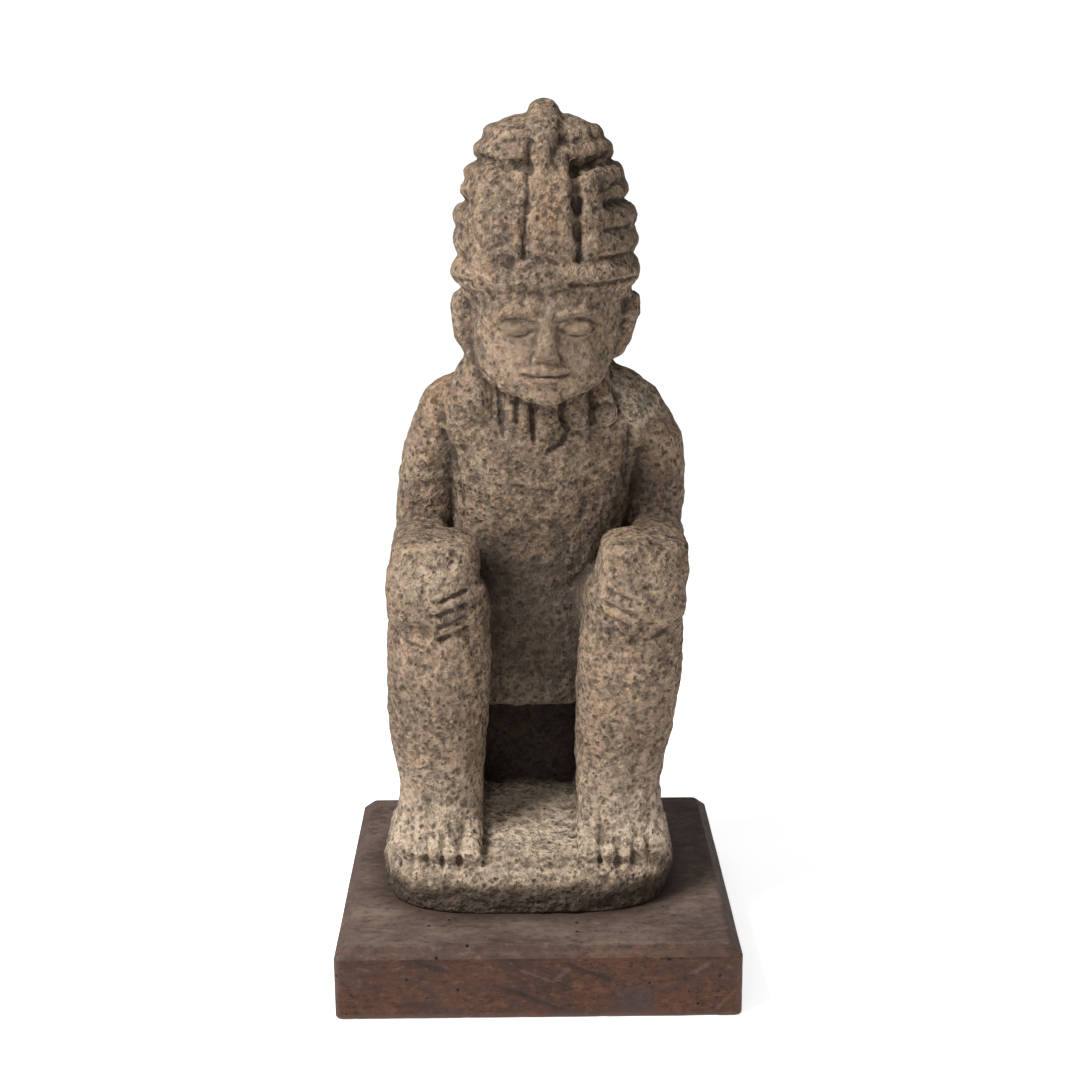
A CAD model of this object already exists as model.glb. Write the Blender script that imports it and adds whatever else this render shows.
"""A seated figure of pitted volcanic stone in a banded headdress, on a dark stained wooden plinth.

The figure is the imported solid's own form. A finer skin is stretched over it, and each point of that skin
moves along its normal by the sum of
    lumps    smooth noise at several sizes, the worn unevenness of the stone,
    pits     -depth * r * (1 - (d / r)^2) inside each pit of radius r, d being the distance to its middle,
    grooves  -depth * (1 - (d / w)^2)^2 within w of a carved line, both a little uneven,
    hollows  -depth * (1 - (d / r)^2) at the few places where the stone has lost a piece.
The plinth's skin is a profile carried round a rounded square: top, chamfer, side and worn lower edge.
Heights on the stone are counted from the bed, the stone's own underside.
"""

import math

import bmesh
import bpy
import numpy as np
from mathutils import Matrix, Vector


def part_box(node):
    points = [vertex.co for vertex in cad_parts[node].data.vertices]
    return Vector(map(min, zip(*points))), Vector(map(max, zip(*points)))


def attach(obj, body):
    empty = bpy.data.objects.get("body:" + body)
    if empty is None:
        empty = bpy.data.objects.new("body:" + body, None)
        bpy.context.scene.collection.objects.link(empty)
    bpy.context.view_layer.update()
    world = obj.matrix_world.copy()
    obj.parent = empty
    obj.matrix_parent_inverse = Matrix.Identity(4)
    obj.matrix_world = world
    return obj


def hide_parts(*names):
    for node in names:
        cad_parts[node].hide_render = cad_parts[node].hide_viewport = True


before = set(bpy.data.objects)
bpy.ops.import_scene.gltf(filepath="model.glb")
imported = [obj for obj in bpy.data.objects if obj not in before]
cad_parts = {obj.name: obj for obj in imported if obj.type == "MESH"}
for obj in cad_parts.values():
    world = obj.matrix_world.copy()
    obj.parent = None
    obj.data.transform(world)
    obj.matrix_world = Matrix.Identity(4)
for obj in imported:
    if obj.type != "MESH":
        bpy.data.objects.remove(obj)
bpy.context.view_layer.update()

MM = 0.001
PLINTH_LOW, PLINTH_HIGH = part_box("plinth")
FIGURE_LOW, FIGURE_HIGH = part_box("figure")
BED = FIGURE_LOW[2]

# The photograph's camera: place in metres, angles and lens in millimetres on a 36 mm frame
CAMERA_PLACE = Vector((-0.0093, -1.2638, 0.6114))
CAMERA_DOWN = math.radians(14.14)
CAMERA_TURN = math.radians(0.6)
CAMERA_ROLL = math.radians(-0.33)
CAMERA_LENS = 62.6
CAMERA_FRAME = 36

# The stone's skin: net size, triangles kept, and passes that smooth the solid's facets away
SKIN_CELL = 1.05 * MM
SKIN_TRIANGLES = 196000
SKIN_SMOOTHING = 6
SMOOTHING_FACTOR = 0.5
WELD_GAP = 0.01 * MM


# Noise and relief, worked out for all points at once

PATCH_SLOPE = 1.4  # how much of a soft patch is full: the steeper, the wider its middle
EVENING = 0.6  # how far a point moves to its neighbours' mean in one pass


def lattice(cells, seed):
    """A fixed number from 0 to 1 for each whole-numbered cell.

    The three whole numbers and the seed are multiplied by large odd numbers and added, and the sum is
    shifted and multiplied twice more, so that cells side by side have nothing in common.
    """
    x, y, z = (cells[:, i].astype(np.int64).astype(np.uint32) for i in range(3))
    mixed = x * np.uint32(374761393) + y * np.uint32(668265263) + z * np.uint32(2246822519)
    mixed += np.uint32((seed * 3266489917) % 2**32)
    mixed = (mixed ^ (mixed >> np.uint32(15))) * np.uint32(2246822519)
    mixed = (mixed ^ (mixed >> np.uint32(13))) * np.uint32(3266489917)
    return (mixed ^ (mixed >> np.uint32(16))).astype(float) / 2**32


def turned(points, first, second):
    """The points in a frame turned about Z and about X, so that no lattice lies along the piece.

    Each point is multiplied by the product of the two plain rotation tables, one for each angle in radians.
    """
    c, s = math.cos(first), math.sin(first)
    about_z = np.array([[c, -s, 0], [s, c, 0], [0, 0, 1]])
    c, s = math.cos(second), math.sin(second)
    about_x = np.array([[1, 0, 0], [0, c, -s], [0, s, c]])
    return points @ (about_z @ about_x)


def smooth_noise(points, size, seed):
    """Noise from -1 to 1 with features of `size` metres.

    The numbers at the eight corners of a point's cell are added, each weighted by the product along the
    three axes of t^2 * (3 - 2 * t), where t is how near the point lies to that corner, and the sum is
    doubled and lowered by 1.
    """
    scaled = turned(points, 0.6 + seed, 0.8 + 0.3 * seed) / size
    base = np.floor(scaled)
    part = scaled - base
    eased = part * part * (3 - 2 * part)
    total = np.zeros(len(points))
    for corner in np.ndindex(2, 2, 2):
        weight = np.prod(np.where(corner, eased, 1 - eased), axis=1)
        total += weight * lattice(base + corner, seed)
    return total * 2 - 1


def pits(points, spacing, radii, chance, seed):
    """Depth of round pits scattered one to a cell, for the share of the cells in `chance`.

    A pit's middle lies anywhere in its cell, its radius r runs from the smaller to the larger of `radii`
    by the square of the cell's number, and its depth at distance d is r * (1 - (d / r)^2). The deepest pit
    counts.
    """
    base = np.floor(points / spacing)
    depth = np.zeros(len(points))
    for offset in np.ndindex(3, 3, 3):
        cell = base + offset - 1
        middle = (cell + np.stack([lattice(cell, seed + i) for i in range(3)], 1)) * spacing
        radius = radii[0] + (radii[1] - radii[0]) * lattice(cell, seed + 3) ** 2
        gap = np.linalg.norm(points - middle, axis=1) / radius
        bowl = radius * np.clip(1 - gap**2, 0, 1)
        depth = np.maximum(depth, np.where(lattice(cell, seed + 4) < chance, bowl, 0))
    return depth


def line_gap(flat, path):
    """Distance of each flat point from a path of straight runs.

    On each run the nearest place is start + t * run, where t is the point's share of the way, kept from
    0 to 1, and the smallest distance over all the runs counts.
    """
    nearest = np.full(len(flat), np.inf)
    for start, end in zip(path, path[1:]):
        start, end = np.array(start, float), np.array(end, float)
        run = end - start
        share = np.clip((flat - start) @ run / (run @ run), 0, 1)
        nearest = np.minimum(nearest, np.linalg.norm(flat - start - share[:, None] * run, axis=1))
    return nearest


def soft_patch(points, centre, halves):
    """1 round the patch's centre, falling evenly to 0 at its edge.

    It is 1.4 * (1 - d), kept from 0 to 1, where d is the distance from the centre in half sizes.
    """
    gap = np.linalg.norm((points - np.array(centre) * MM) / (np.array(halves) * MM), axis=1)
    return np.clip(PATCH_SLOPE * (1 - gap), 0, 1)


def calm_share(points, shares):
    """How calm the stone is: the sum of each place's share times its soft patch."""
    return sum(share * soft_patch(points, *place) for place, share in shares)


def ramp(value, low, high):
    """0 at low, 1 at high, evenly between and no further; low may be the larger one."""
    return np.clip((value - low) / (high - low), 0, 1)


def read_points(mesh):
    """The mesh's points as rows of x, y and z in metres."""
    points = np.empty(len(mesh.vertices) * 3, np.float32)
    mesh.vertices.foreach_get("co", points)
    return points.reshape(-1, 3).astype(float)


def read_normals(mesh):
    """The mesh's normals, a row for each point."""
    normals = np.empty(len(mesh.vertices) * 3, np.float32)
    mesh.vertex_normals.foreach_get("vector", normals)
    return normals.reshape(-1, 3).astype(float)


def write_points(mesh, points):
    """Puts the rows back into the mesh."""
    mesh.vertices.foreach_set("co", points.astype(np.float32).ravel())
    mesh.update()


def paint(mesh, name, values):
    """One number for each point, which the material reads."""
    layer = mesh.attributes.new(name, "FLOAT", "POINT")
    layer.data.foreach_set("value", values.astype(np.float32))


def hollowness(mesh, passes):
    """How far each point lies below the evened-out surface round it, in metres.

    In each pass a point goes 0.6 of the way to the mean of its neighbours. What it has moved along its
    normal after the last pass is the hollowness.
    """
    points, normals = read_points(mesh), read_normals(mesh)
    ends = np.empty(len(mesh.edges) * 2, np.int32)
    mesh.edges.foreach_get("vertices", ends)
    ends = ends.reshape(-1, 2)
    both = np.concatenate([ends, ends[:, ::-1]])
    count = np.bincount(both[:, 0], minlength=len(points))[:, None]
    even = points.copy()
    for _ in range(passes):
        near = even[both[:, 1]]
        sums = np.stack([np.bincount(both[:, 0], near[:, i], len(points)) for i in range(3)], 1)
        even = (1 - EVENING) * even + EVENING * sums / count
    return ((even - points) * normals).sum(1)


# The stone figure

# The block leans to the viewer's right: sideways shift in millimetres at each height above the bed
LEAN_HEIGHTS = (0, 60, 100, 190, 228, 270, 310, 345, 400, 430, 542)
LEAN_SHIFTS = (-6, -4.5, -4.2, 0, 0.5, 5.5, 7.5, 6.5, 8.5, 9, 7)

# Places on the figure, as centre and half sizes in millimetres above the bed
FACE = ((9, -50, 387), (56, 44, 44))
COLLAR = ((12, -28, 332), (55, 30, 26))
FLOOR = ((-4, -16, 50), (38, 84, 9))
LEFT_EYE = ((-11.5, -60, 398), (18, 40, 11))
RIGHT_EYE = ((28.5, -60, 398), (18, 40, 11))
SOOTY = (  # darker places and how much: right arm, armpit, belly, chest, beneath the chin, headdress, brow
    (((80, -8, 274), (26, 44, 36)), 0.45),
    (((73, -12, 288), (15, 40, 40)), 0.5),
    (((-28, -30, 238), (26, 40, 40)), 0.4),
    (((4, -25, 296), (56, 34, 56)), 0.2),
    (((9, -34, 350), (38, 22, 9)), 0.5),
    (((27, -52, 474), (8, 22, 36)), 0.3),
    (((46, -30, 462), (26, 48, 54)), 0.2),
    (((11, -60, 468), (17, 24, 40)), 0.22),
    (((4, -70, 424), (60, 40, 14)), 0.2),
)
PALER = (  # left knee, floor between the feet, right shoulder
    (((-70, -60, 236), (34, 44, 26)), 0.6),
    (((-4, -10, 50), (44, 84, 20)), 1.6),
    (((70, -6, 338), (32, 44, 26)), 0.9),
)
OCHRE_PATCHES = (  # left shoulder, forearm, right foot, strip, right knee, left of the headdress
    ((-64, -2, 345), (13, 28, 22)),
    ((-98, -50, 236), (9, 30, 22)),
    ((68, -76, 38), (14, 20, 9)),
    ((12, -62, 470), (14, 20, 30)),
    ((72, -30, 262), (24, 25, 8)),
    ((-60, -60, 470), (25, 30, 20)),
)

# Carved lines, as x and height in millimetres, x before the lean
LEFT_FINGERS = (224.8, 215.3, 206, 196.8)
RIGHT_FINGERS = (224.8, 215.3, 206)
TOE_GAPS = (48, 60, 71, 81)
COLLAR_LINES = (
    ((-41, 366), (-33, 360), (-30, 350), (-28, 320)),
    ((-18.5, 330), (-18, 350)),
    ((-7.5, 316), (-8.5, 350)),
    ((2.5, 311), (11.5, 316), (15, 324), (12, 333), (12.5, 350)),
    ((32, 328), (31.5, 352)),
    ((51, 334), (49, 346), (44, 356)),
)
BEAD = (41, 335, 9)  # the round bead's middle and radius
EYE_LINE = ((9, 396.5), (14, 393.4), (20, 392.4), (26, 393.6), (31, 397))
LID_CREASE = ((8, 402), (14, 404), (20, 404.4), (27, 403), (33, 399))
NOSE_SIDE = ((7, 384), (9.5, 380), (10, 376.5))
MOUTH_LINE = ((-14.5, 367.6), (-8, 366.4), (0, 366.8), (8, 366.4), (14.5, 367.6))
HAND_LINES = (
    ((-98, 199), (-91, 193.5), (-83, 189.5), (-75, 188)),
    ((96, 205), (87.5, 197), (76, 192), (62.5, 190)),
    ((76.5, 257), (84.5, 253.5), (91, 249), (96, 243)),
    ((64, 270), (69, 262), (80, 258)),
)
HEADDRESS_LINES = (
    ((16, 425.3), (34, 424.6), (58, 427)),
    ((29.5, 484), (33, 482.5), (37, 484.5), (41, 485), (45, 488.5)),
    ((28, 478.5), (30.5, 475), (34.5, 473.5)),
    ((38, 459.5), (44, 460), (54, 460.5)),
    ((35, 442), (44, 442.5), (55, 444)),
    ((19, 497), (29, 500.5), (41, 507)),
    ((-15.5, 443), (-14, 460), (-11.5, 480), (-10, 500), (-9.5, 514)),
)
ARMPIT_LINES = (
    ((57, 324), (56.5, 306), (58, 289), (63, 272), (74, 260)),
    ((-68.5, 319), (-63, 300), (-59.5, 283), (-55, 262)),
)
STRIP_EDGE = ((21, 443), (21.5, 472), (20.5, 498))

HOLLOWS = (  # place, radius and depth of bigger losses, in millimetres
    ((13.3, -84, 41.8), 3.4, 2.6),
    ((31.3, -56, 451.3), 3.2, 1.8),
    ((7, -16, 541), 5.5, 2.2),
    ((86, -78, 8), 11, 3.4),
    ((-98, -60, 196), 5, 1.6),
    ((98, -56, 203), 4.5, 1.4),
)

# The slab's dark lower band ends at this height, and its rough lower part fades out between the next two
LOW_BAND = 22
BASE_FADE = (66, 40)
MOST_PALE = 1.6
HOLLOW_READINGS = (  # attribute, passes of evening, and the hollowness where it starts and is full
    ("pit", 4, 0.03, 0.26),
    ("crease", 60, 0.5, 2.8),
)

# The relief, in millimetres. Each row of noise has its height, what it gains in the rougher part, that
# part, its size and its seed. Each row of pits has its depth as a share of the radius, what it gains in the
# rougher part, that part, the spacing, the radii, the share of the cells that hold a pit, and the seed.
LUMP_HEIGHT, LUMP_SIZE, LUMP_SEED = 0.60, 26, 11
ROUGHNESS = (
    (0.65, 0.00, "band", 12, 12),
    (0.62, 0.60, "band", 6.5, 13),
    (0.50, 0.35, "base", 3.6, 14),
)
PITTING = (
    (0.75, 0.65, "base", 4.6, (0.7, 1.7), 0.6, 20),
    (0.50, 0.50, "band", 12, (1.6, 3.4), 0.4, 30),
)
PIT_TURNS = (0.7, 1.1)
WANDER_SIZE, WANDER_SEED = 4, 15
CALM_RELIEF = (FACE, 0.8), (COLLAR, 0.4), (FLOOR, 0.4), (LEFT_EYE, 0.2), (RIGHT_EYE, 0.2)
CALM_COLOUR = (FACE, 1), (FLOOR, 0.8), (LEFT_EYE, 0.8), (RIGHT_EYE, 0.8)
FRONT_SLOPE = 2.5  # grooves fade where the surface turns from the front
SAWN_FADE = (0.2, 3)  # no relief at the sawn underside


def lean(height):
    """Sideways shift at a height, straight between the heights of the table, in millimetres."""
    return np.interp(height, LEAN_HEIGHTS, LEAN_SHIFTS)


def carved_lines():
    """Grooves seen from the front: each one's path, and its half width and depth in millimetres.

    Eyes, nose and toes are mirrored about the middle line, and the bead is a ring of 16 straight runs.
    """
    lines = [(((-64, z - 4), (-55, z), (-47, z + 3)), 2.0, 1.0) for z in LEFT_FINGERS]
    lines += [(((62, z - 4), (55, z), (47, z + 3)), 2.0, 0.5) for z in RIGHT_FINGERS]
    for side in (-1, 1):
        lines += [(((side * gap, 32), (side * gap, 49)), 1.8, 0.2) for gap in TOE_GAPS]
    lines += [(path, 1.9, 1.3) for path in COLLAR_LINES]
    x, z, radius = BEAD
    turns = np.linspace(0, 2 * math.pi, 17)
    ring = [(x + radius * math.cos(turn), z + radius * math.sin(turn)) for turn in turns]
    lines.append((ring, 2.0, 1.7))
    for side in (-1, 1):
        for path, width, depth in ((EYE_LINE, 1.5, 1.1), (LID_CREASE, 1.8, 0.7), (NOSE_SIDE, 1.6, 0.7)):
            lines.append(([(side * x, z) for x, z in path], width, depth))
    lines.append((MOUTH_LINE, 1.6, 1.1))
    lines += [(path, 1.9, 0.6) for path in HAND_LINES]
    lines += [(path, 2.2, 1.2) for path in (*HEADDRESS_LINES, *ARMPIT_LINES, STRIP_EDGE)]
    return lines


def stretched_skin():
    """The solid's form under a fine even net, with its facets smoothed away.

    The net's points lie on a grid of the skin's cell. In each smoothing pass a point goes half the way to
    the mean of its neighbours.
    """
    bm = bmesh.new()
    bm.from_mesh(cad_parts["figure"].data)
    bmesh.ops.remove_doubles(bm, verts=bm.verts, dist=WELD_GAP)
    plain = bpy.data.meshes.new("figure_form")
    bm.to_mesh(plain)
    bm.free()
    carrier = bpy.data.objects.new("figure_form", plain)
    bpy.context.scene.collection.objects.link(carrier)
    net = carrier.modifiers.new("Net", "REMESH")
    net.mode = "VOXEL"
    net.voxel_size = SKIN_CELL
    ease = carrier.modifiers.new("Ease", "SMOOTH")
    ease.factor = SMOOTHING_FACTOR
    ease.iterations = SKIN_SMOOTHING
    graph = bpy.context.evaluated_depsgraph_get()
    skin = bpy.data.meshes.new_from_object(carrier.evaluated_get(graph))
    bpy.data.objects.remove(carrier)
    bpy.data.meshes.remove(plain)
    return skin


def roughen(skin):
    """Moves each point along its normal by the lumps, pits, grooves and hollows of the heading.

    Noise and pits are weakened on the face, collar, eyes and floor by the calm places' shares. A groove's
    or hollow's distance is lengthened and its depth raised or lowered by a little noise of its own.
    """
    points, normals = read_points(skin), read_normals(skin)
    local = points - (0, 0, BED)
    calm = 1 - calm_share(local, CALM_RELIEF)
    rougher = {
        "band": ramp(local[:, 2], (LOW_BAND + 8) * MM, (LOW_BAND - 6) * MM),
        "base": ramp(local[:, 2], BASE_FADE[0] * MM, BASE_FADE[1] * MM),
    }
    wander = smooth_noise(points, WANDER_SIZE * MM, WANDER_SEED)
    push = LUMP_HEIGHT * MM * smooth_noise(points, LUMP_SIZE * MM, LUMP_SEED)
    for height, gain, part, size, seed in ROUGHNESS:
        push += (height + gain * rougher[part]) * MM * smooth_noise(points, size * MM, seed) * calm
    askew = turned(points, *PIT_TURNS)
    for depth, gain, part, spacing, (small, large), chance, seed in PITTING:
        bowls = pits(askew, spacing * MM, (small * MM, large * MM), chance, seed)
        push -= (depth + gain * rougher[part]) * bowls * calm
    front = np.clip(-normals[:, 1] * FRONT_SLOPE, 0, 1) * (points[:, 1] < 0)
    height = local[:, 2] / MM
    flat = np.stack([local[:, 0] / MM - lean(height), height], 1)
    for path, width, depth in carved_lines():
        gap = line_gap(flat, path) + 0.5 * wander
        groove = np.clip(1 - (gap / width) ** 2, 0, 1) ** 2
        push -= depth * (1 + 0.5 * wander) * MM * groove * front
    for place, radius, depth in HOLLOWS:
        gap = np.linalg.norm(local / MM - place, axis=1) + 0.6 * wander
        push -= depth * MM * np.clip(1 - (gap / radius) ** 2, 0, 1)
    push *= ramp(local[:, 2], SAWN_FADE[0] * MM, SAWN_FADE[1] * MM)
    points += normals * push[:, None]
    points[:, 2] = np.clip(points[:, 2], BED, FIGURE_HIGH[2])
    write_points(skin, points)


def thinned(skin):
    """The same surface with fewer triangles where it is flattest."""
    carrier = bpy.data.objects.new("figure_skin", skin)
    bpy.context.scene.collection.objects.link(carrier)
    thin = carrier.modifiers.new("Thin", "DECIMATE")
    thin.ratio = min(1.0, SKIN_TRIANGLES / (2 * len(skin.polygons)))
    graph = bpy.context.evaluated_depsgraph_get()
    mesh = bpy.data.meshes.new_from_object(carrier.evaluated_get(graph))
    bpy.data.objects.remove(carrier)
    bpy.data.meshes.remove(skin)
    return mesh


def recess(x, y, z, broken):
    """The dark pocket behind the shins: 1 on its walls and back, 0 on its floor and outside it.

    Its floor rises by 0.15 of the depth. The walls darken from 2 to 6 mm over the floor and towards the
    back. The pocket ends 34 to 44 mm to either side, above 118 to 140 mm, and well before the block's back.
    """
    over_floor = z - 48.5 - 0.15 * y
    walls = ramp(over_floor, 2, 6) * ramp(y, -45, 15)
    back = ramp(y + 2 * broken, 22, 32)
    inside = ramp(np.abs(x + 4), 44, 34) * ramp(y, 66, 50)
    return np.maximum(walls, back) * ramp(z, 140, 118) * inside


def belly(x, y, z, broken):
    """The shaded belly between the thighs: 1 in its middle, fading over the ramps' widths at its ends."""
    lap = ramp(np.abs(x), 62, 44) * ramp(y, -40, -25) * ramp(y, 35, 15)
    return ramp(z + 8 * broken, 268, 225) * ramp(z, 120, 150) * lap


def weather(mesh):
    """Where the stone is dark in its hollows, pale on the feet, calm, sooty, and stained ochre.

    Each attribute is a sum of soft patches and ramps over the height. Edges that follow a height are made
    ragged by noise of 7 mm and 2.5 mm, which is added to the height before the ramp.
    """
    points = read_points(mesh)
    local = points - (0, 0, BED)
    x, y, z = (local / MM).T
    broken = smooth_noise(points, 7 * MM, 41) + 0.6 * smooth_noise(points, 2.5 * MM, 42)
    for name, passes, start, full in HOLLOW_READINGS:
        paint(mesh, name, ramp(hollowness(mesh, passes), start * MM, full * MM))

    # Pale from 106 mm down to 45 mm, a third less on the slab's front, and dark in the low band
    rise = z + 4 * broken - LOW_BAND
    pale = ramp(z + 9 * broken, 106, 45) * (1 - 0.35 * ramp(z, 44, 34))
    for patch, amount in PALER:
        pale += amount * soft_patch(local, *patch)
    paint(mesh, "pale", np.clip(pale * ramp(rise, -3, 4), 0, MOST_PALE))
    paint(mesh, "calm", calm_share(local, CALM_COLOUR))

    soot = 0.85 * ramp(rise, 3, -5) + recess(x, y, z, broken) + 0.78 * belly(x, y, z, broken)
    for patch, amount in SOOTY:
        soot += amount * soft_patch(local, *patch)
    paint(mesh, "soot", np.clip(soot, 0, 1))
    ochre = np.zeros(len(points))
    for patch in OCHRE_PATCHES:
        ochre = np.maximum(ochre, soft_patch(local, *patch))
    paint(mesh, "ochre", np.clip(ochre * (0.75 + 0.5 * broken), 0, 1))


def make_figure():
    """The stone's skin: stretched, roughened, thinned, weathered, and put in place of the solid."""
    skin = stretched_skin()
    roughen(skin)
    mesh = thinned(skin)
    mesh.name = "figure_stone"
    weather(mesh)
    mesh.shade_smooth()
    stone = bpy.data.objects.new("figure_stone", mesh)
    bpy.context.scene.collection.objects.link(stone)
    mesh.materials.clear()
    mesh.materials.append(stone_material())
    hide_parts("figure")
    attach(stone, "root")


# The wooden plinth

CORNER = 4.0 * MM
CHAMFER = 7.5 * MM
ARRIS = 2.5 * MM
PERIMETER_POINTS = 900
TOP_RINGS = 36
CHAMFER_RINGS = 9
SIDE_RINGS = 34
CORNER_STEPS = 13
LEAST_CORNER = 0.2 * MM

# Marks on the board's front, as x and height in millimetres
DARK_SCARS = (((-80, 41), (-60, 35)), ((20, 39.4), (33, 33), (47, 28)), ((-29, 24), (-12, 19), (11, 8)))
BRIGHT_SCARS = (((-11, 35), (9, 26.6), (20, 35)), ((118.6, 7), (130, 19.4)), ((103, 32.7), (115.4, 41.2)))
EATEN_PATCHES = (
    ((-62, -135, 28), (30, 12, 26)),
    ((106, -135, 24), (10, 12, 22)),
    ((-121, -135, 8), (9, 12, 10)),
)
WET_PATCH = ((65, -135, 14), (20, 12, 17))
FOOTPRINT = ((-6, 4), (102, 88), 3.5)  # the stone's slab on the board: middle, half sizes and squareness


def square_ring(half_x, half_y, radius, count):
    """Points evenly spaced round a square with rounded corners, in metres.

    Each corner is a quarter circle about a middle that lies one radius in from both sides. The points are
    then taken at equal steps of the whole way round.
    """
    fine = []
    for quarter, (sx, sy) in enumerate(((1, 1), (-1, 1), (-1, -1), (1, -1))):
        for turn in np.linspace(quarter, quarter + 1, CORNER_STEPS) * math.pi / 2:
            x = sx * (half_x - radius) + radius * math.cos(turn)
            fine.append((x, sy * (half_y - radius) + radius * math.sin(turn)))
    fine = np.array([*fine, fine[0]])
    travel = np.concatenate([[0], np.cumsum(np.linalg.norm(np.diff(fine, axis=0), axis=1))])
    share = np.linspace(0, travel[-1], count, endpoint=False)
    return np.stack([np.interp(share, travel, fine[:, i]) for i in range(2)], 1)


def plinth_profile():
    """Inset and height from the middle of the top, over the chamfer and down the side, to the underside.

    The chamfer falls as far as it goes in. The worn lower edge is a quarter circle of the arris's radius.
    """
    half = PLINTH_HIGH[0]
    top = PLINTH_HIGH[2]
    flat = [(half - (half - CHAMFER) * share, top) for share in np.linspace(0.02, 1, TOP_RINGS) ** 0.8]
    shares = np.linspace(0, 1, CHAMFER_RINGS)[1:]
    bevel = [(CHAMFER * (1 - share), top - CHAMFER * share) for share in shares]
    side = [(0.0, z) for z in np.linspace(top - CHAMFER, ARRIS, SIDE_RINGS)[1:]]
    turns = np.linspace(0, math.pi / 2, 5)[1:]
    worn = [(ARRIS * (1 - math.cos(turn)), ARRIS * (1 - math.sin(turn))) for turn in turns]
    below = [(half - (half - ARRIS) * share, 0.0) for share in np.linspace(1, 0.02, 8)[1:]]
    return flat + bevel + side + worn + below


def make_plinth():
    """The board's skin: the profile's rings joined by quads and closed above and below, then worn."""
    half_x, half_y = PLINTH_HIGH[0], PLINTH_HIGH[1]
    rings = []
    for inset, z in plinth_profile():
        radius = max(CORNER * (half_x - inset) / half_x, LEAST_CORNER)
        ring = square_ring(half_x - inset, half_y - inset, radius, PERIMETER_POINTS)
        rings.append(np.column_stack([ring, np.full(PERIMETER_POINTS, z)]))
    points = np.concatenate(rings)
    count = PERIMETER_POINTS
    level, step = np.meshgrid(np.arange(len(rings) - 1), np.arange(count), indexing="ij")
    after = (step + 1) % count
    above, below = level * count, (level + 1) * count
    quads = np.stack([above + step, below + step, below + after, above + after], -1)
    faces = quads.reshape(-1, 4).tolist()
    faces.append(list(range(count)))
    faces.append(list(range(len(points) - 1, len(points) - count - 1, -1)))
    mesh = bpy.data.meshes.new("plinth_board")
    mesh.from_pydata(points.tolist(), [], faces)
    mesh.shade_smooth()
    mesh.update()
    wear_board(mesh)
    board = bpy.data.objects.new("plinth_board", mesh)
    bpy.context.scene.collection.objects.link(board)
    mesh.materials.append(wood_material())
    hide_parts("plinth")
    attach(board, "root")


def wear_board(mesh):
    """Slight waves, dents along the edges, scars, and the attributes that the stain reads.

    Edges lose up to 0.5 mm where a point lies within 5 mm of two sides, and up to 0.8 mm more in dents.
    The faces wave by 0.24 mm, and a dark scar is 0.5 mm deep. `halo` is 1 on the stone's footprint, where
    (|x / a|^n + |y / b|^n)^(1 / n) is below 1, and fades to 0 at 1.14.
    """
    points, normals = read_points(mesh), read_normals(mesh)
    low, high = np.array(PLINTH_LOW), np.array(PLINTH_HIGH)
    to_edge = np.minimum(points - low, high - points)
    near = ramp(np.sort(to_edge, axis=1)[:, 1], 5 * MM, 0)
    wander = smooth_noise(points, 5 * MM, 64)
    front = -normals[:, 1] > 0.7
    flat = points[:, (0, 2)] / MM
    dark = sum(ramp(line_gap(flat, path) + 0.8 * wander, 2.6, 0.6) for path in DARK_SCARS) * front
    bright = sum(ramp(line_gap(flat, path) + 0.9 * wander, 1.4, 0.3) for path in BRIGHT_SCARS) * front
    push = -0.25 * MM * (1 + smooth_noise(points, 14 * MM, 61)) * near
    push -= 0.8 * MM * ramp(smooth_noise(points, 8 * MM, 62), 0.25, 0.8) * near
    push -= 0.12 * MM * (1 + smooth_noise(points, 30 * MM, 63))
    push -= 0.5 * MM * dark
    push *= ramp(points[:, 2], 0.0, 0.4 * MM)
    write_points(mesh, np.clip(points + normals * push[:, None], low, high))
    paint(mesh, "edge", near)
    paint(mesh, "dark", np.clip(dark, 0, 1))
    paint(mesh, "bright", np.clip(bright, 0, 1))
    paint(mesh, "wet", soft_patch(points, *WET_PATCH))
    paint(mesh, "eaten", sum(soft_patch(points, *patch) for patch in EATEN_PATCHES))
    around = (np.abs(points[:, :2] / MM - FOOTPRINT[0]) / FOOTPRINT[1]) ** FOOTPRINT[2]
    paint(mesh, "halo", ramp(around.sum(1) ** (1 / FOOTPRINT[2]) + 0.02 * wander, 1.14, 1.0))


# Materials

# Colours of the stone
DARK_STONE = (0.172, 0.120, 0.084)
LIGHT_STONE = (0.328, 0.230, 0.159)
RUSTY = (0.345, 0.212, 0.128)
STRAW = (0.350, 0.270, 0.160)
COLD = (0.160, 0.131, 0.107)
CALM_STONE = (0.182, 0.129, 0.090)
PALE_STONE = (0.66, 0.525, 0.39)
OCHRE = (0.39, 0.212, 0.100)
SOOT = (0.030, 0.022, 0.018)
HOLLOW_DIRT = (0.045, 0.033, 0.026)

# Colours of the board
DARK_RED = (0.036, 0.0155, 0.009)
LIGHT_RED = (0.078, 0.031, 0.0165)
DARK_GREY = (0.070, 0.046, 0.035)
LIGHT_GREY = (0.187, 0.135, 0.106)

PATCH_EDGE = 0.14  # how far the noise rises over a colour patch's soft edge
HOLE_CELLS = 150  # cells to a metre, one beetle hole in some of them


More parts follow.
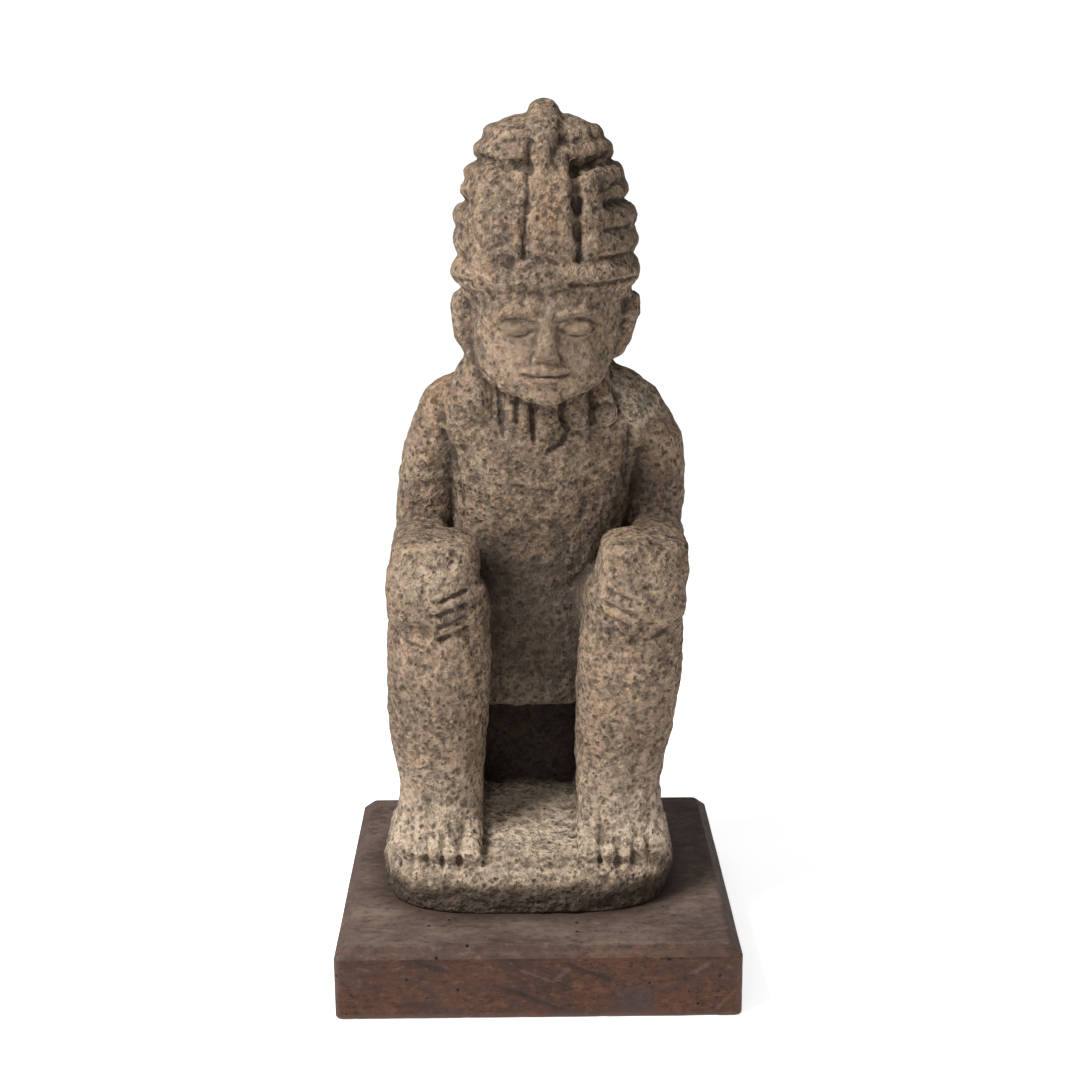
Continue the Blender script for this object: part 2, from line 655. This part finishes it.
class Nodes:
    """A material's node tree, with one call for each node or small group of nodes."""

    def __init__(self, name):
        self.material = bpy.data.materials.new(name)
        self.material.use_nodes = True
        self.tree = self.material.node_tree
        self.shader = self.tree.nodes["Principled BSDF"]

    def feed(self, socket, value):
        """Links an output to the socket, or sets the socket to a plain value."""
        if isinstance(value, bpy.types.NodeSocket):
            self.tree.links.new(value, socket)
        elif isinstance(value, tuple) and len(value) == 3 and socket.type == "RGBA":
            socket.default_value = (*value, 1.0)
        else:
            socket.default_value = value

    def add(self, kind, inputs=(), output=0, **settings):
        """One node with its settings and inputs, as the output that is asked for."""
        node = self.tree.nodes.new("ShaderNode" + kind)
        for name, value in settings.items():
            setattr(node, name, value)
        for key, value in dict(inputs).items():
            self.feed(node.inputs[key], value)
        return node.outputs[output]

    def place(self, stretch=(1, 1, 1), turn=(0, 0, 0)):
        """Object coordinates times the stretch, turned by the angles in radians."""
        at = self.add("TexCoord", output="Object")
        return self.add("Mapping", {"Vector": at, "Scale": stretch, "Rotation": turn})

    def warped(self, scale, amount):
        """Object coordinates pushed about by noise, which breaks up the round cells."""
        drift = self.add("TexNoise", {"Vector": self.place(), "Scale": scale, "Detail": 2.0}, 1)
        centred = self.add("VectorMath", {0: drift, 1: (0.5, 0.5, 0.5)}, operation="SUBTRACT")
        shift = self.add("VectorMath", {0: centred, "Scale": amount}, operation="SCALE")
        return self.add("VectorMath", {0: self.place(), 1: shift}, operation="ADD")

    def patches(self, scale, turn, low):
        """1 where noise that is turned its own way is high, 0 below `low`, with soft edges."""
        return self.span(self.noise(scale, 3, 0.55, self.place(turn=turn)), low, low + PATCH_EDGE)

    def noise(self, scale, detail=3.0, roughness=0.55, where=None):
        """Fractal noise round 0.5, with `scale` features to a metre."""
        at = where or self.place()
        return self.add("TexNoise", {"Vector": at, "Scale": scale, "Detail": detail, "Roughness": roughness})

    def cells(self, scale, output="Distance", where=None):
        """Scattered cells, `scale` to a metre: the distance to the nearest middle, or its colour."""
        at = where or self.place()
        return self.add("TexVoronoi", {"Vector": at, "Scale": scale}, output)

    def grains(self, scale, where):
        """A number from 0 to 1 for each cell, and how near to the cell's middle a point lies."""
        number = self.add("SeparateXYZ", {0: self.cells(scale, "Color", where)}, 0)
        return number, self.span(self.cells(scale, where=where), 0.72, 0.18)

    def attribute(self, name):
        """The number that paint() left on the mesh under this name."""
        return self.add("Attribute", output="Fac", attribute_name=name, attribute_type="GEOMETRY")

    def span(self, value, low, high):
        """value from low to high becomes 0 to 1."""
        return self.add("MapRange", {"Value": value, "From Min": low, "From Max": high}, clamp=True)

    def math(self, operation, first, second):
        """A sum, product or comparison of two numbers."""
        return self.add("Math", {0: first, 1: second}, operation=operation)

    def mix(self, share, first, second):
        """first + share * (second - first), for colours."""
        inputs = {"Factor": share, 6: first, 7: second}
        node = self.tree.nodes.new("ShaderNodeMix")
        node.data_type = "RGBA"
        for key, value in inputs.items():
            self.feed(node.inputs[key], value)
        return node.outputs[2]

    def layered(self, colour, layers):
        """The colour pulled towards each layer's tint in turn, by its share times its strength."""
        for share, strength, tint in layers:
            colour = self.mix(self.math("MULTIPLY", share, strength), colour, tint)
        return colour

    def bump(self, height, strength, distance, below=None):
        """A normal tilted by the height's slope, times the distance in metres, over another bump."""
        inputs = {"Height": height, "Strength": strength, "Distance": distance}
        if below is not None:
            inputs["Normal"] = below
        return self.add("Bump", inputs)

    def finish(self, colour, roughness, normal, specular):
        """Feeds the surface and hands over the material."""
        self.feed(self.shader.inputs["Base Color"], colour)
        self.feed(self.shader.inputs["Roughness"], roughness)
        self.feed(self.shader.inputs["Normal"], normal)
        self.feed(self.shader.inputs["Specular IOR Level"], specular)
        return self.material


def stone_material():
    """Pitted volcanic stone.

    A brown ground with rusty, straw and cold patches; then the calm, ochre and pale places; then grain from
    large to small, weaker where the stone is calm; then soot, and dark pits and creases, which are weaker
    where the stone is rubbed pale. The bump is the noise less the pocks.
    """
    n = Nodes("pitted stone")
    patchy = n.noise(85, 3, 0.6)
    middle = n.noise(190, 3, 0.6)
    grit = n.noise(430, 3, 0.65)
    torn = n.warped(260, 3.4 * MM)
    coarse, coarse_middle = n.grains(350, torn)
    fine, fine_middle = n.grains(640, torn)
    pocked = n.math("MULTIPLY", n.span(coarse, 0.36, 0.10), coarse_middle)
    pricked = n.math("MULTIPLY", n.span(fine, 0.42, 0.10), fine_middle)
    pale, calm = n.attribute("pale"), n.attribute("calm")
    rubbed = n.math("MINIMUM", n.math("MULTIPLY", pale, 0.72), 0.92)
    busy = n.span(calm, 2.0, 0.0)
    clean = n.span(pale, 4.0, 0.1)

    colour = n.mix(n.span(n.noise(24, 4), 0.36, 0.64), DARK_STONE, LIGHT_STONE)
    colour = n.layered(colour, (
        (n.patches(55, (0.4, 0.9, 0.2), 0.50), 0.38, RUSTY),
        (n.patches(90, (1.3, 0.2, 0.7), 0.50), 0.40, STRAW),
        (n.patches(75, (0.1, 1.7, 1.1), 0.54), 0.40, COLD),
        (calm, 0.45, CALM_STONE),
        (n.attribute("ochre"), 0.42, OCHRE),
        (rubbed, 1.0, PALE_STONE),
    ))
    grain = (
        (n.span(patchy, 0.50, 0.34), 0.50, (0.085, 0.062, 0.046)),
        (n.span(middle, 0.49, 0.33), 0.45, (0.075, 0.054, 0.040)),
        (n.span(middle, 0.53, 0.70), 0.28, (0.46, 0.350, 0.252)),
        (n.span(grit, 0.48, 0.33), 0.50, (0.060, 0.043, 0.032)),
        (n.span(grit, 0.55, 0.72), 0.28, (0.52, 0.400, 0.290)),
        (n.span(coarse, 0.30, 0.06), 0.32, (0.046, 0.034, 0.026)),
        (pocked, 0.60, (0.030, 0.021, 0.016)),
        (pricked, 0.50, (0.034, 0.024, 0.018)),
        (n.span(coarse, 0.74, 0.98), 0.30, (0.50, 0.385, 0.278)),
    )
    busy_grain = [(n.math("MULTIPLY", share, busy), strength, tint) for share, strength, tint in grain]
    colour = n.layered(colour, busy_grain)
    colour = n.layered(colour, (
        (n.attribute("soot"), 0.86, SOOT),
        (n.math("MULTIPLY", n.attribute("pit"), clean), 0.72, HOLLOW_DIRT),
        (n.math("MULTIPLY", n.attribute("crease"), clean), 0.4, HOLLOW_DIRT),
    ))

    height = n.math("ADD", n.math("MULTIPLY", middle, 1.2), n.math("MULTIPLY", grit, 0.5))
    height = n.math("SUBTRACT", height, n.math("MULTIPLY", pocked, 0.30))
    normal = n.bump(n.math("MULTIPLY", patchy, busy), 1.0, 5.0 * MM)
    normal = n.bump(n.math("MULTIPLY", height, busy), 1.0, 2.5 * MM, normal)
    return n.finish(colour, 0.92, normal, 0.2)


def wood_material():
    """A dark stained board: worn red-brown sides and a greyer top, with flecks, scars and beetle holes.

    The grain runs along X, so its noise is stretched that way. A beetle hole is the middle of a cell whose
    number is over a chance, and that chance is lower where the board is eaten.
    """
    n = Nodes("stained board")
    upward = n.add("SeparateXYZ", {0: n.add("NewGeometry", output="Normal")}, 2)
    long_grain = n.noise(26, 5, 0.6, n.place((0.18, 1, 1)))
    fine_grain = n.noise(420, 3, 0.6, n.place((0.06, 1, 1)))
    mottle = n.noise(40, 7, 0.75, n.place((0.6, 1, 1)))
    worn = n.noise(230, 4, 0.75, n.place((0.6, 1, 1)))
    smear = n.noise(22, 7, 0.7, n.place((0.5, 1, 1)))
    fleck = n.noise(480, 3, 0.7, n.place((0.45, 1, 1), (0.2, 0.4, 0.6)))
    struck = n.math("MULTIPLY", n.span(fleck, 0.44, 0.34), n.span(smear, 0.40, 0.56))

    side = n.mix(n.span(mottle, 0.38, 0.62), DARK_RED, LIGHT_RED)
    side = n.layered(side, (
        (n.span(worn, 0.48, 0.34), 0.85, (0.018, 0.010, 0.008)),
        (struck, 0.95, (0.014, 0.009, 0.007)),
        (n.span(smear, 0.52, 0.36), 0.5, (0.060, 0.036, 0.027)),
        (n.span(worn, 0.55, 0.70), 0.50, (0.155, 0.084, 0.054)),
        (n.span(fine_grain, 0.45, 0.65), 0.2, (0.040, 0.022, 0.016)),
        (n.attribute("wet"), 0.5, (0.032, 0.028, 0.030)),
        (n.attribute("bright"), 0.30, (0.17, 0.10, 0.075)),
    ))
    top = n.mix(n.span(smear, 0.36, 0.64), DARK_GREY, LIGHT_GREY)
    top = n.layered(top, (
        (n.span(long_grain, 0.42, 0.60), 0.35, (0.090, 0.061, 0.047)),
        (n.span(worn, 0.49, 0.33), 0.85, (0.052, 0.036, 0.028)),
        (n.span(worn, 0.55, 0.70), 0.35, (0.30, 0.225, 0.18)),
        (n.attribute("halo"), 0.65, (0.045, 0.029, 0.022)),
    ))
    chance = n.math("SUBTRACT", 0.95, n.math("MULTIPLY", n.attribute("eaten"), 0.6))
    picked = n.add("SeparateXYZ", {0: n.cells(HOLE_CELLS, "Color")}, 0)
    hole = n.math("MULTIPLY", n.span(n.cells(HOLE_CELLS), 0.20, 0.13), n.math("GREATER_THAN", picked, chance))
    colour = n.mix(n.span(upward, 0.58, 1.0), side, top)
    colour = n.layered(colour, (
        (n.attribute("edge"), 0.30, (0.15, 0.10, 0.08)),
        (n.attribute("dark"), 0.7, (0.014, 0.010, 0.009)),
        (hole, 1.0, (0.006, 0.004, 0.004)),
    ))

    height = n.math("SUBTRACT", n.math("MULTIPLY", fine_grain, 0.3), hole)
    normal = n.bump(height, 0.6, 0.8 * MM)
    normal = n.bump(worn, 0.4, 1.2 * MM, normal)
    return n.finish(colour, n.span(mottle, -0.6, 1.2), normal, 0.2)


def floor_material():
    """A white floor that glows a little, so that it melts into the white room."""
    n = Nodes("pale floor")
    n.feed(n.shader.inputs["Base Color"], (0.90, 0.90, 0.90))
    n.feed(n.shader.inputs["Roughness"], 0.8)
    n.feed(n.shader.inputs["Emission Color"], (1.0, 1.0, 1.0))
    n.feed(n.shader.inputs["Emission Strength"], FLOOR_GLOW)
    return n.material


# The studio: each light's place, aim, width in metres and power in watts, and the white room and floor

KEY = ((-1.11, -0.94, 1.68), (0, 0, 0.25), 0.8, 53)
FILL = ((-0.3, -1.5, 1.35), (0, 0, 0.15), 0.6, 4)
ROOM_LIGHT = 0.28
ROOM_SEEN = 1.05
FLOOR_GLOW = 0.72
FLOOR_REACH = 1.2
FLOOR_DROP = 0.05 * MM


def make_floor():
    """A flat square just under the plinth."""
    mesh = bpy.data.meshes.new("floor")
    reach = FLOOR_REACH
    corners = [(-reach, -reach, 0), (reach, -reach, 0), (reach, reach, 0), (-reach, reach, 0)]
    mesh.from_pydata(corners, [], [(0, 1, 2, 3)])
    mesh.materials.append(floor_material())
    floor = bpy.data.objects.new("floor", mesh)
    floor.location.z = PLINTH_LOW[2] - FLOOR_DROP
    bpy.context.scene.collection.objects.link(floor)


def make_light(name, place, aim, size, power):
    """A round soft light that points from its place to its aim."""
    lamp = bpy.data.lights.new(name, "AREA")
    lamp.shape = "DISK"
    lamp.size = size
    lamp.energy = power
    holder = bpy.data.objects.new(name, lamp)
    holder.location = place
    holder.rotation_euler = (Vector(aim) - Vector(place)).to_track_quat("-Z", "Y").to_euler()
    bpy.context.scene.collection.objects.link(holder)


def make_lights():
    """A soft key from the upper left, a weak front fill, and a white room seen brighter than it lights."""
    make_light("key", *KEY)
    make_light("fill", *FILL)
    world = bpy.data.worlds.new("white room")
    world.use_nodes = True
    tree = world.node_tree
    background = tree.nodes["Background"]
    background.inputs["Color"].default_value = (1, 1, 1, 1)
    seen = tree.nodes.new("ShaderNodeLightPath").outputs["Is Camera Ray"]
    strength = tree.nodes.new("ShaderNodeMapRange")
    tree.links.new(seen, strength.inputs["Value"])
    strength.inputs["To Min"].default_value = ROOM_LIGHT
    strength.inputs["To Max"].default_value = ROOM_SEEN
    tree.links.new(strength.outputs["Result"], background.inputs["Strength"])
    bpy.context.scene.world = world
    bpy.context.scene.view_settings.view_transform = "Standard"


def make_camera():
    """The photograph's camera, from its place and its three angles.

    The view direction is (sin turn * cos down, cos turn * cos down, -sin down). The level direction across
    it and its upright are then turned together by the roll.
    """
    ahead = Vector((
        math.sin(CAMERA_TURN) * math.cos(CAMERA_DOWN),
        math.cos(CAMERA_TURN) * math.cos(CAMERA_DOWN),
        -math.sin(CAMERA_DOWN),
    ))
    level = Vector((math.cos(CAMERA_TURN), -math.sin(CAMERA_TURN), 0))
    upright = level.cross(ahead)
    right = math.cos(CAMERA_ROLL) * level + math.sin(CAMERA_ROLL) * upright
    up = -math.sin(CAMERA_ROLL) * level + math.cos(CAMERA_ROLL) * upright
    lens = bpy.data.cameras.new("camera")
    lens.sensor_width = CAMERA_FRAME
    lens.lens = CAMERA_LENS
    camera = bpy.data.objects.new("camera", lens)
    facing = Matrix((right, up, -ahead)).transposed().to_4x4()
    camera.matrix_world = Matrix.Translation(CAMERA_PLACE) @ facing
    bpy.context.scene.collection.objects.link(camera)
    bpy.context.scene.camera = camera


make_camera()
make_figure()
make_plinth()
make_floor()
make_lights()
